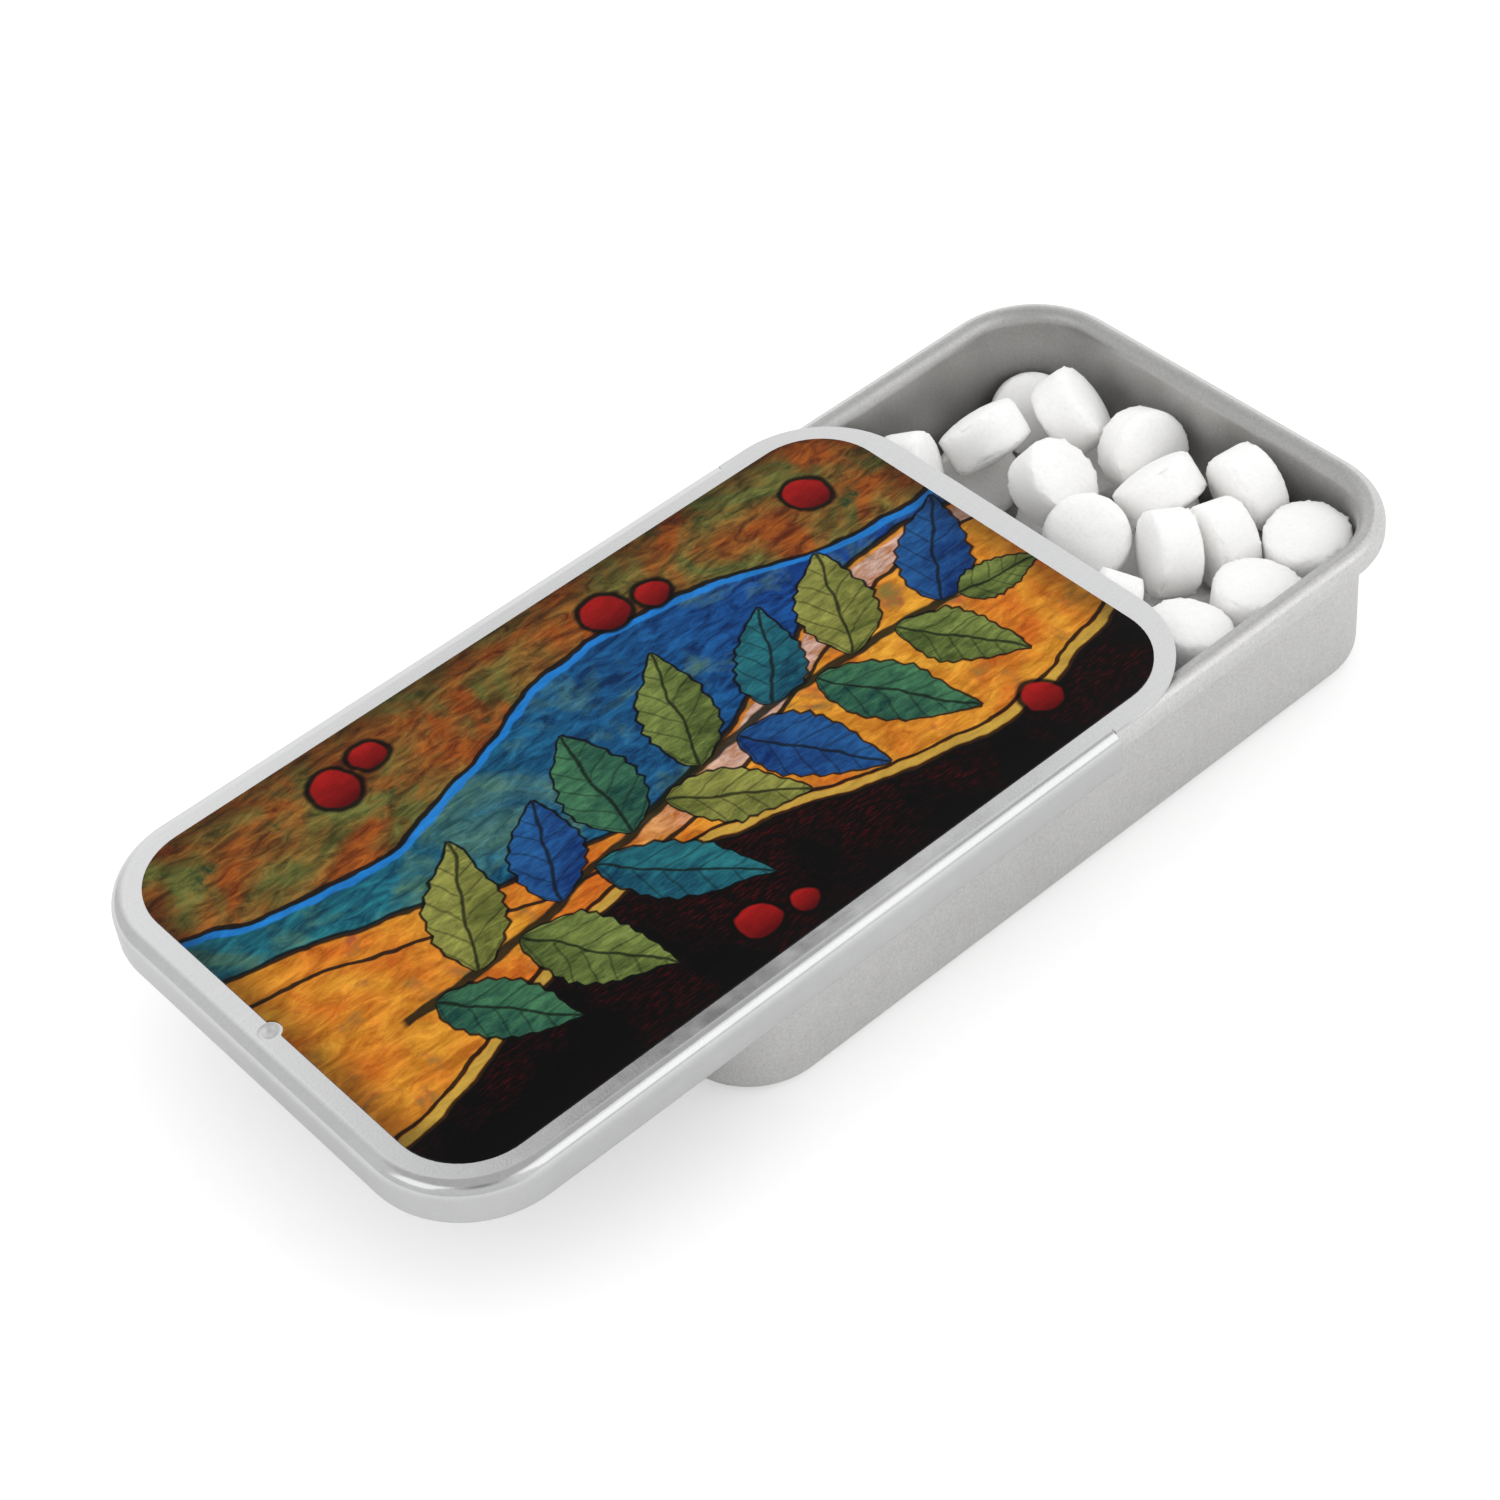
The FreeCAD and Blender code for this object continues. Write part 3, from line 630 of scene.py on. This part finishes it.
# The printed label: bands of mottled colour with a sprig of mint leaves and berries over them.
# Its lengths are in millimetres, u along the print and v across it.
OUTLINE = 0.95
OUTLINE_INK = srgb(12, 12, 12)
VEIN_INK = srgb(16, 20, 14)
BAND_BLEND = (-0.05, 0.05)
STEM_INK = srgb(22, 28, 18)
STEM_LEVEL = -3.2
STEM_HEIGHT = 1.9
STEM_PACE = 0.10
STEM_PHASE = 0.5
STEM_TIP = 22.4
LEAVES = 14
FIRST_LEAF = -20.5
LEAF_STEP = 3.2
GREENS = (
    ((70, 122, 84), (18, 62, 58)),
    ((124, 138, 70), (58, 74, 34)),
    ((40, 116, 122), (12, 58, 84)),
    ((150, 150, 74), (84, 92, 40)),
    ((36, 92, 148), (12, 40, 98)),
)
TIP_GREEN = GREENS[1]
# Each berry's place along and across the print, and its radius
BERRIES = (
    (-14.5, 12.4, 1.7), (-11.4, 13.4, 1.3), (6.5, 12.6, 1.8), (9.6, 11.6, 1.3),
    (22.6, 11.4, 1.6), (-4.0, -13.6, 1.5), (-1.0, -14.2, 1.2), (19.5, -12.4, 1.5),
)
BERRY_INK = srgb(14, 8, 8)
BERRY_DEEP = srgb(70, 4, 10)
BERRY_LIGHT = srgb(168, 26, 24)
BORDER_INK = srgb(14, 12, 12)
LABEL_BUMP = 0.12


def leaf_group():
    """Paints one toothed leaf with a dark outline and veins over a colour."""
    tree, web, given, out = new_group("painted_leaf", [
        ("Under", "NodeSocketColor", (0, 0, 0, 1)),
        ("Place", "NodeSocketVector", None),
        ("Stroke", "NodeSocketFloat", 0.5),
        ("Root", "NodeSocketVector", (0, 0, 0)),
        ("Heading", "NodeSocketFloat", 0.0),
        ("Length", "NodeSocketFloat", 9.0),
        ("Width", "NodeSocketFloat", 4.6),
        ("Light", "NodeSocketColor", (0.5, 0.5, 0.5, 1)),
        ("Deep", "NodeSocketColor", (0.1, 0.1, 0.1, 1)),
    ], [("Color", "NodeSocketColor")])
    rotate = web.add("ShaderNodeVectorRotate", rotation_type="Z_AXIS", invert=True)
    web.feed(rotate.inputs["Vector"], web.vector("SUBTRACT", given["Place"], given["Root"]))
    web.feed(rotate.inputs["Angle"], given["Heading"])
    along, across, _ = web.split(rotate.outputs[0])
    along = web.math("DIVIDE", along, given["Length"])
    side = web.math("ABSOLUTE", across)
    teeth = web.math("PINGPONG", web.times(along, 9.0), 0.5)
    taper = web.math("POWER", web.math("MAXIMUM", along, 0.0), 0.75)
    swell = web.math("SINE", web.times(taper, math.pi))
    swell = web.times(swell, web.plus(web.times(teeth, 0.22), 0.9))
    half = web.times(web.times(given["Width"], 0.5), swell)
    inside = web.minus(half, side)
    within = web.times(
        web.math("GREATER_THAN", along, 0.0), web.math("LESS_THAN", along, 1.0))
    body = web.times(web.span(inside, -0.02, 0.06), within)
    rim = web.times(web.span(inside, -0.22, -0.12), within)
    vein_place = web.minus(web.times(along, 5.5), web.times(side, 0.55))
    vein = web.span(web.math("PINGPONG", vein_place, 0.5), 0.03, 0.09, 1.0, 0.0)
    rib = web.span(side, 0.06, 0.16, 1.0, 0.0)
    ink = web.math("MAXIMUM", web.times(vein, 0.55), rib)
    tone = web.plus(web.times(given["Stroke"], 0.7), web.times(along, 0.35))
    tone = web.math("ADD", tone, web.span(across, -0.6, 0.6, -0.22, 0.12), clamp=True)
    paint = web.mix(tone, given["Deep"], given["Light"])
    paint = web.mix(web.times(ink, 0.85), paint, VEIN_INK)
    outlined = web.mix(web.times(rim, OUTLINE), given["Under"], OUTLINE_INK)
    web.feed(out["Color"], web.mix(body, outlined, paint))
    return tree


def stem_place(u):
    """The stem's height at u, and the angle at which it rises there."""
    angle = STEM_PACE * u + STEM_PHASE
    slope = math.atan(STEM_HEIGHT * STEM_PACE * math.cos(angle))
    return STEM_LEVEL + STEM_HEIGHT * math.sin(angle), slope


def label_material():
    """Satin print: russet, water, amber and wine bands, their lines, the sprig and the berries."""
    material, web, shader, place = new_material("printed_label", IOR=1.45, Roughness=0.32)
    shader.inputs["Specular IOR Level"].default_value = 0.06
    low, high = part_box("lid_label")
    middle = (low + high) / 2 / MM
    half = (high - low) / 2 / MM
    flat = web.mapped(place, location=(-middle.x, -middle.y, 0), scale=(1 / MM, 1 / MM, 0))
    wobble = web.noise(flat, scale=0.22, detail=3.0, output="Color")
    sway = web.vector("SUBTRACT", wobble, (0.5, 0.5, 0.5))
    drawn = web.vector("ADD", flat, web.vector("MULTIPLY", sway, (1.6, 1.6, 0)))
    u, v, _ = web.split(drawn)
    blotch = web.noise(flat, scale=0.16, detail=4.0, roughness=0.6, distortion=0.6)
    dab_place = web.mapped(flat, rotation=(0, 0, 0.5), scale=(0.45, 1.3, 1))
    dabs = web.noise(dab_place, scale=1.0, detail=5.0, roughness=0.65, distortion=0.8)
    bristle_place = web.mapped(flat, rotation=(0, 0, 0.35), scale=(1.2, 7.0, 1))
    bristle = web.noise(bristle_place, scale=1.0, detail=3.0, roughness=0.7)
    grain = web.noise(flat, scale=6.0, detail=3.0, roughness=0.6)
    mossy = web.noise(flat, scale=0.35, detail=4.0, roughness=0.7)
    ruddy = web.noise(flat, scale=0.28, detail=3.0, roughness=0.6, distortion=0.8)
    stroke = web.span(web.plus(web.times(dabs, 0.7), web.times(bristle, 0.3)), 0.34, 0.66)

    def wave(level, height, pace, phase):
        """How far a place lies above a wavy line."""
        bend = web.math("SINE", web.plus(web.times(u, pace), phase))
        return web.minus(v, web.plus(web.times(bend, height), level))

    def dabbed(first, second):
        return web.mix(web.span(dabs, 0.35, 0.65), srgb(*first), srgb(*second))

    russet = web.mix(
        web.span(blotch, 0.40, 0.62),
        dabbed((96, 40, 18), (158, 84, 28)),
        dabbed((58, 66, 30), (112, 112, 56)))
    russet = web.mix(web.span(mossy, 0.60, 0.72), russet, srgb(38, 60, 34))
    water = web.mix(
        web.span(u, -20.0, 18.0),
        dabbed((12, 60, 84), (34, 112, 122)),
        dabbed((8, 34, 92), (22, 74, 150)))
    water = web.mix(web.span(blotch, 0.5, 0.7), water, dabbed((52, 98, 84), (96, 128, 92)))
    amber = web.mix(
        web.span(blotch, 0.36, 0.64),
        dabbed((176, 82, 20), (208, 112, 34)),
        dabbed((196, 128, 30), (220, 158, 52)))
    amber = web.mix(web.span(ruddy, 0.57, 0.70), amber, dabbed((132, 122, 58), (172, 74, 40)))
    wine = web.mix(web.span(bristle, 0.50, 0.72), srgb(10, 7, 8), srgb(78, 6, 12))
    wine = web.mix(web.span(blotch, 0.42, 0.58), wine, srgb(9, 8, 9))

    top_edge = wave(level=8.6, height=2.6, pace=0.15, phase=0.9)
    mid_edge = wave(level=1.2, height=3.6, pace=0.115, phase=-1.2)
    low_edge = wave(level=-9.6, height=2.9, pace=0.13, phase=2.4)
    paint = web.mix(web.span(low_edge, *BAND_BLEND), wine, amber)
    paint = web.mix(web.span(mid_edge, *BAND_BLEND), paint, water)
    paint = web.mix(web.span(top_edge, *BAND_BLEND), paint, russet)
    ribbon = web.times(web.span(mid_edge, -2.4, -2.2), web.span(mid_edge, -0.6, -0.4, 1.0, 0.0))
    fade = web.times(web.span(u, -6.0, 4.0), web.span(stroke, 0.1, 0.5))
    ribbon = web.times(ribbon, web.times(fade, 0.85))
    paint = web.mix(ribbon, paint, dabbed((150, 112, 104), (206, 178, 168)))

    for colour, edge, offset, thickness in (
            ((30, 118, 196), top_edge, -0.35, 0.34),
            ((14, 16, 20), top_edge, 0.1, 0.24),
            ((14, 15, 16), mid_edge, 0.0, 0.30),
            ((14, 15, 16), mid_edge, -2.45, 0.20),
            ((186, 150, 62), low_edge, 0.55, 0.40),
            ((12, 10, 10), low_edge, 0.0, 0.30),
            ((12, 10, 10), low_edge, 1.05, 0.18)):
        away = web.math("ABSOLUTE", web.minus(edge, offset))
        mask = web.span(away, thickness * 0.6, thickness, OUTLINE, 0.0)
        paint = web.mix(mask, paint, srgb(*colour))

    stem = wave(STEM_LEVEL, STEM_HEIGHT, STEM_PACE, STEM_PHASE)
    on_stem = web.times(web.span(u, -23.0, -22.5), web.span(u, 22.0, 23.0, 1.0, 0.0))
    stem_mask = web.times(web.span(web.math("ABSOLUTE", stem), 0.28, 0.42, 1.0, 0.0), on_stem)
    paint = web.mix(web.times(stem_mask, OUTLINE), paint, STEM_INK)

    leaf = leaf_group()
    for order in range(LEAVES):
        at = FIRST_LEAF + LEAF_STEP * order
        level, slope = stem_place(at)
        rise = 1 if order % 2 else -1
        light, deep = GREENS[order * 3 % len(GREENS)]
        paint = place_group(
            web, leaf, Under=paint, Place=drawn, Stroke=stroke, Root=(at, level, 0),
            Heading=slope + rise * math.radians(52 + 7 * (order % 3)),
            Length=8.6 + 0.9 * (order * 2 % 3), Width=4.4 + 0.4 * (order % 3),
            Light=srgb(*light), Deep=srgb(*deep))["Color"]
    level, _ = stem_place(STEM_TIP)
    light, deep = TIP_GREEN
    paint = place_group(
        web, leaf, Under=paint, Place=drawn, Stroke=stroke, Root=(STEM_TIP, level, 0),
        Heading=-0.15, Length=6.4, Width=3.4, Light=srgb(*light), Deep=srgb(*deep))["Color"]

    for at_u, at_v, radius in BERRIES:
        away = web.vector("SUBTRACT", drawn, (at_u, at_v, 0))
        distance = web.length(away)
        outline = web.span(distance, radius, radius + 0.25, OUTLINE, 0.0)
        paint = web.mix(outline, paint, BERRY_INK)
        _, upward, _ = web.split(away)
        berry = web.mix(web.span(upward, -radius, radius), BERRY_DEEP, BERRY_LIGHT)
        paint = web.mix(web.span(distance, radius - 0.35, radius - 0.2, 1.0, 0.0), paint, berry)

    tone = web.times(web.span(stroke, 0.0, 1.0, 0.72, 1.16), web.vary(grain, 0.93, 1.06))
    paint = web.shaded(paint, tone)
    flat_u, flat_v, _ = web.split(flat)
    rim = web.math(
        "MINIMUM", web.minus(half.y, web.math("ABSOLUTE", flat_v)),
        web.minus(half.x, web.math("ABSOLUTE", flat_u)))
    paint = web.mix(web.span(rim, 0.1, 2.6, 0.55, 0.0, smooth=True), paint, BORDER_INK)
    web.feed(shader.inputs["Base Color"], paint)
    height = web.plus(web.times(stroke, 0.5), web.times(grain, 0.5))
    web.feed(shader.inputs["Normal"], web.bump(height, LABEL_BUMP, FINE_BUMP_DEPTH))
    return material


finish = tin_finish_group()
finish_piece(tray_mesh(), "tray_shell", tray_material(finish), "tray", "tray")
finish_piece(lid_mesh(), "lid_shell", lid_material(finish), "lid", "sliding_lid")
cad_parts["lid_label"].material_slots[0].material = label_material()
mint_white = mint_material()
for number in range(1, MINT_COUNT + 1):
    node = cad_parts["mint_%02d" % number]
    finish_piece(
        mint_mesh(node, number), "pressed_%02d" % number, mint_white, "tray", node.name,
        CRUMBLED)


# Floor, light and camera

FLOOR_SIZE = 3.0
FLOOR_DROP = 0.02 * MM
FLOOR_SHADE = (0.80, 0.80, 0.80, 1)
FLOOR_GLOW = 0.34
FLOOR_MIRRORED_GLOW = 0.05


def floor_material():
    """Pale floor that reads white to the camera and still takes the tin's shadow."""
    material, web, shader, _ = new_material("pale_floor", Roughness=0.9)
    shader.inputs["Base Color"].default_value = FLOOR_SHADE
    shader.inputs["Specular IOR Level"].default_value = 0.0
    shader.inputs["Emission Color"].default_value = (1, 1, 1, 1)
    path = web.add("ShaderNodeLightPath")
    glow = web.times(path.outputs["Is Glossy Ray"], FLOOR_MIRRORED_GLOW)
    glow = web.math("MULTIPLY_ADD", path.outputs["Is Camera Ray"], FLOOR_GLOW, glow)
    web.feed(shader.inputs["Emission Strength"], glow)
    return material


ground = bmesh.new()
bmesh.ops.create_grid(ground, x_segments=1, y_segments=1, size=FLOOR_SIZE)
bmesh.ops.translate(ground, verts=ground.verts, vec=(0, 0, -FLOOR_DROP))
ground_mesh = bpy.data.meshes.new("studio_floor")
ground.to_mesh(ground_mesh)
ground.free()
ground_mesh.materials.append(floor_material())
floor = bpy.data.objects.new("studio_floor", ground_mesh)
scene.collection.objects.link(floor)

# The room is white. Metal mirrors its white walls, its greyer left side, near side and ceiling,
# a dim opening high in the far wall and the dark shape of the camera. Places and fades are parts
# of a direction of length one, and reaches are distances from such a place.
LEFT_SIDE = 0.66
LEFT_FADE = (-0.15, 0.2)
NEAR_SIDE = 0.76
NEAR_FADE = (-0.3, 0.25)
NEAR_RISE = (0.15, 0.4)
CEILING = 0.5
CEILING_FADE = (0.76, 0.86)
OPENING = 0.12
OPENING_PLACE = (0.39, 0.535, 0.75)
OPENING_REACH = 0.16
CAMERA_SHAPE = 0.25
CAMERA_SHAPE_PLACE = (-0.344, -0.459, 0.819)
CAMERA_SHAPE_REACH = 0.55

world = bpy.data.worlds.new("studio")
scene.world = world
world.use_nodes = True
sky = Web(world.node_tree)
backdrop = world.node_tree.nodes["Background"]
path = sky.add("ShaderNodeLightPath")
towards = sky.add("ShaderNodeTexCoord").outputs["Generated"]
sideways, inwards, height = sky.split(towards)
side = sky.span(sideways, *LEFT_FADE, LEFT_SIDE, 1.0)
near = sky.span(inwards, *NEAR_FADE, NEAR_SIDE, 1.0)
near = sky.math("MAXIMUM", near, sky.span(height, *NEAR_RISE, 1.0, 0.0))
ceiling = sky.span(height, *CEILING_FADE, 1.0, CEILING)


def dim_spot(place, reach, level):
    return sky.span(sky.distance(towards, place), 0.0, reach, level, 1.0, smooth=True)


opening = dim_spot(OPENING_PLACE, OPENING_REACH, OPENING)
camera_shape = dim_spot(CAMERA_SHAPE_PLACE, CAMERA_SHAPE_REACH, CAMERA_SHAPE)
mirrored = sky.math("MINIMUM", side, near)
for part in (ceiling, opening, camera_shape):
    mirrored = sky.math("MINIMUM", mirrored, part)
backdrop.inputs["Color"].default_value = (1, 1, 1, 1)
strength = sky.span(path.outputs["Is Glossy Ray"], 0.0, 1.0, 1.0, mirrored)
sky.feed(backdrop.inputs["Strength"], strength)


def soft_light(name, place, size, power):
    """A square lamp that faces the tin."""
    data = bpy.data.lights.new(name, "AREA")
    data.shape = "RECTANGLE"
    data.size = data.size_y = size
    data.energy = power
    lamp = bpy.data.objects.new(name, data)
    scene.collection.objects.link(lamp)
    lamp.location = place
    lamp.rotation_euler = (-Vector(place)).to_track_quat("-Z", "Y").to_euler()


soft_light("key_light", place=(0.42, -0.54, 0.72), size=0.8, power=1.05)
soft_light("fill_light", place=(-0.66, 0.06, 0.70), size=0.5, power=0.4)

# The photo's camera: its place, its turn about x, y and z in degrees, and its lens
CAMERA_PLACE = Vector((-101.6005, -119.2246, 156.0325)) * MM
CAMERA_TURN = (44.999, 4.954, -41.755)
CAMERA_LENS = 83.139

camera_data = bpy.data.cameras.new("photo_camera")
camera_data.sensor_width = 36.0
camera_data.lens = CAMERA_LENS
camera_data.clip_start = 0.01
camera = bpy.data.objects.new("photo_camera", camera_data)
scene.collection.objects.link(camera)
turned = Euler([math.radians(angle) for angle in CAMERA_TURN])
camera.matrix_world = Matrix.LocRotScale(CAMERA_PLACE, turned, None)
scene.camera = camera
